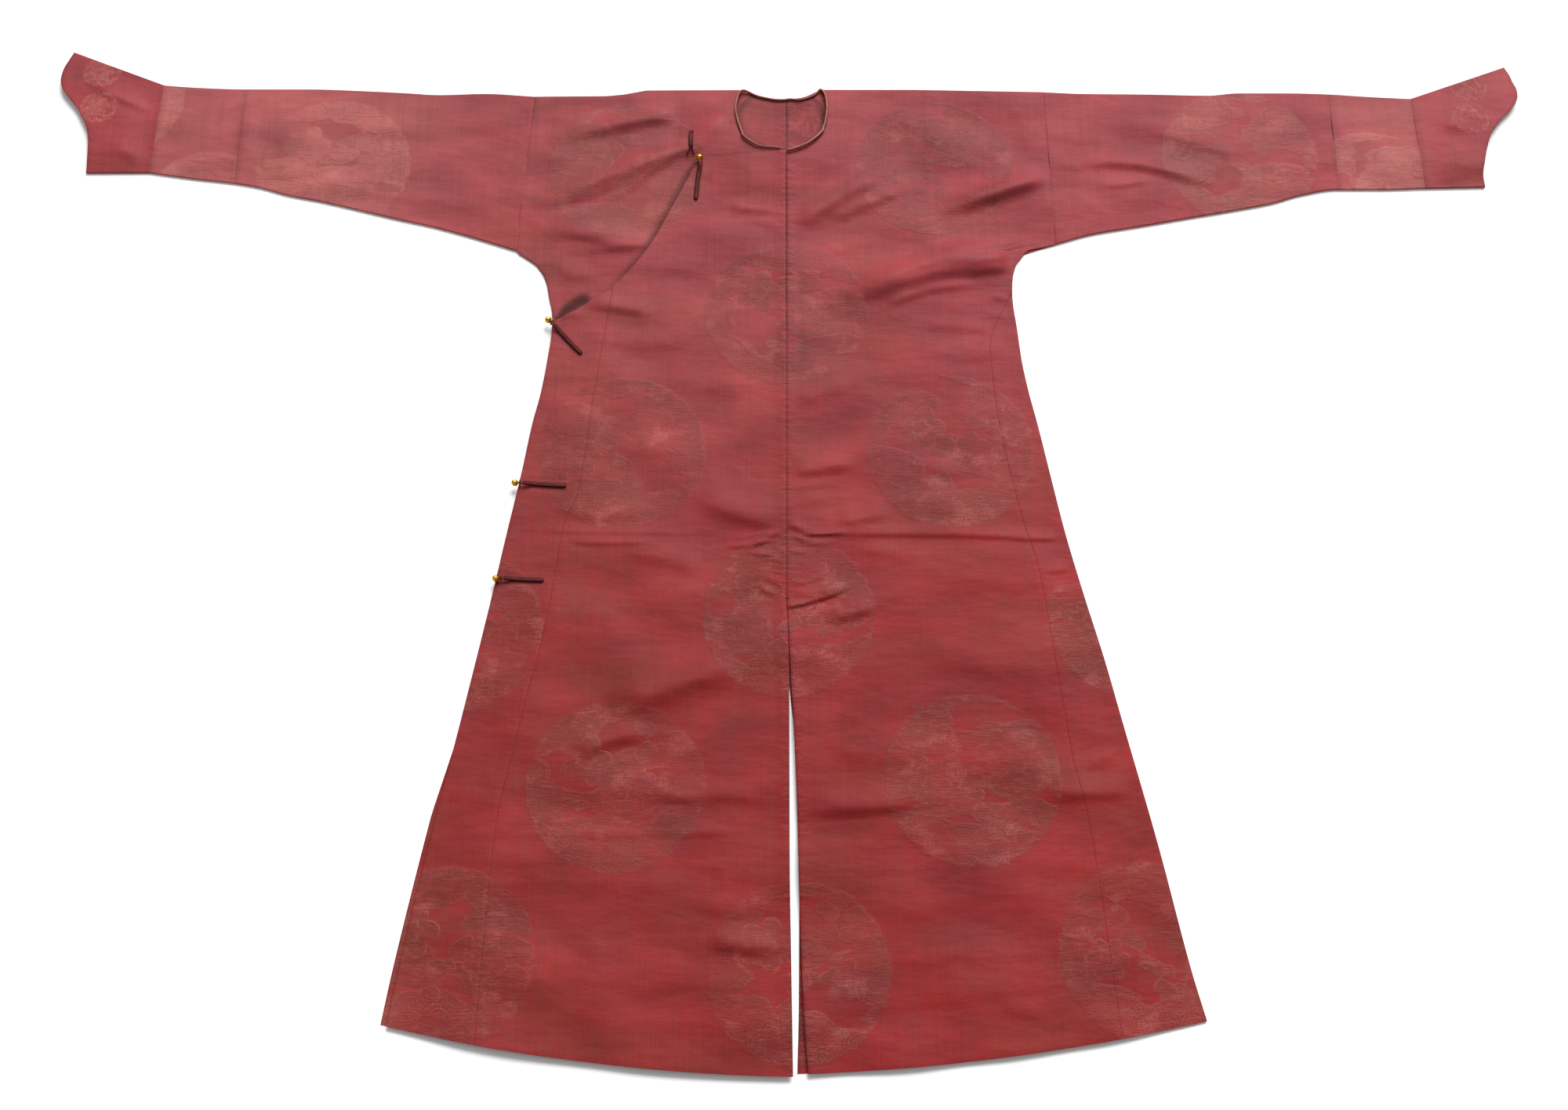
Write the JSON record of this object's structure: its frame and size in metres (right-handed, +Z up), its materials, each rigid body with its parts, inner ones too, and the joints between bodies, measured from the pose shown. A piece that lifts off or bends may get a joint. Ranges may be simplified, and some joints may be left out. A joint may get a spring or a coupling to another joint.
{
  "type": "riding surcoat",
  "caption": "Silk damask riding surcoat laid flat, front overlap fastening at the wearer's right side with gilt ball buttons, centre vents and flared hoof cuffs",
  "frame": {"origin": "on the surface that the coat lies on, at the middle of its bounding box", "axes": "+X towards the wearer's left cuff, +Y towards the neck, +Z up from the surface"},
  "size_m": [2.0284, 1.4872, 0.0177],
  "materials": {
    "silk": "soft satin sheen, self-coloured roundels",
    "cuff_silk": "soft satin sheen",
    "binding": "matt rolled edge",
    "cord": "corded, slightly glossy",
    "gilt": "polished gilt"
  },
  "bodies": {
    "root": {"body_left": "silk", "body_right": "silk", "front_flap": "silk", "gore_front_left": "silk", "gore_back_left": "silk", "gore_underlap": "silk", "gore_back_right": "silk", "gore_flap": "silk", "sleeve_upper_left": "silk", "sleeve_upper_right": "silk", "sleeve_lower_left": "silk", "sleeve_lower_right": "silk", "cuff_left": "cuff_silk", "cuff_right": "cuff_silk", "neck_binding": "binding", "button_1": "gilt", "button_strap_1": "cord", "button_2": "gilt", "button_strap_2": "cord", "button_loop_2": "cord", "button_3": "gilt", "button_strap_3": "cord", "button_loop_3": "cord", "button_4": "gilt", "button_strap_4": "cord", "button_loop_4": "cord", "loop_strap_1": "cord"}
  },
  "joints": []
}
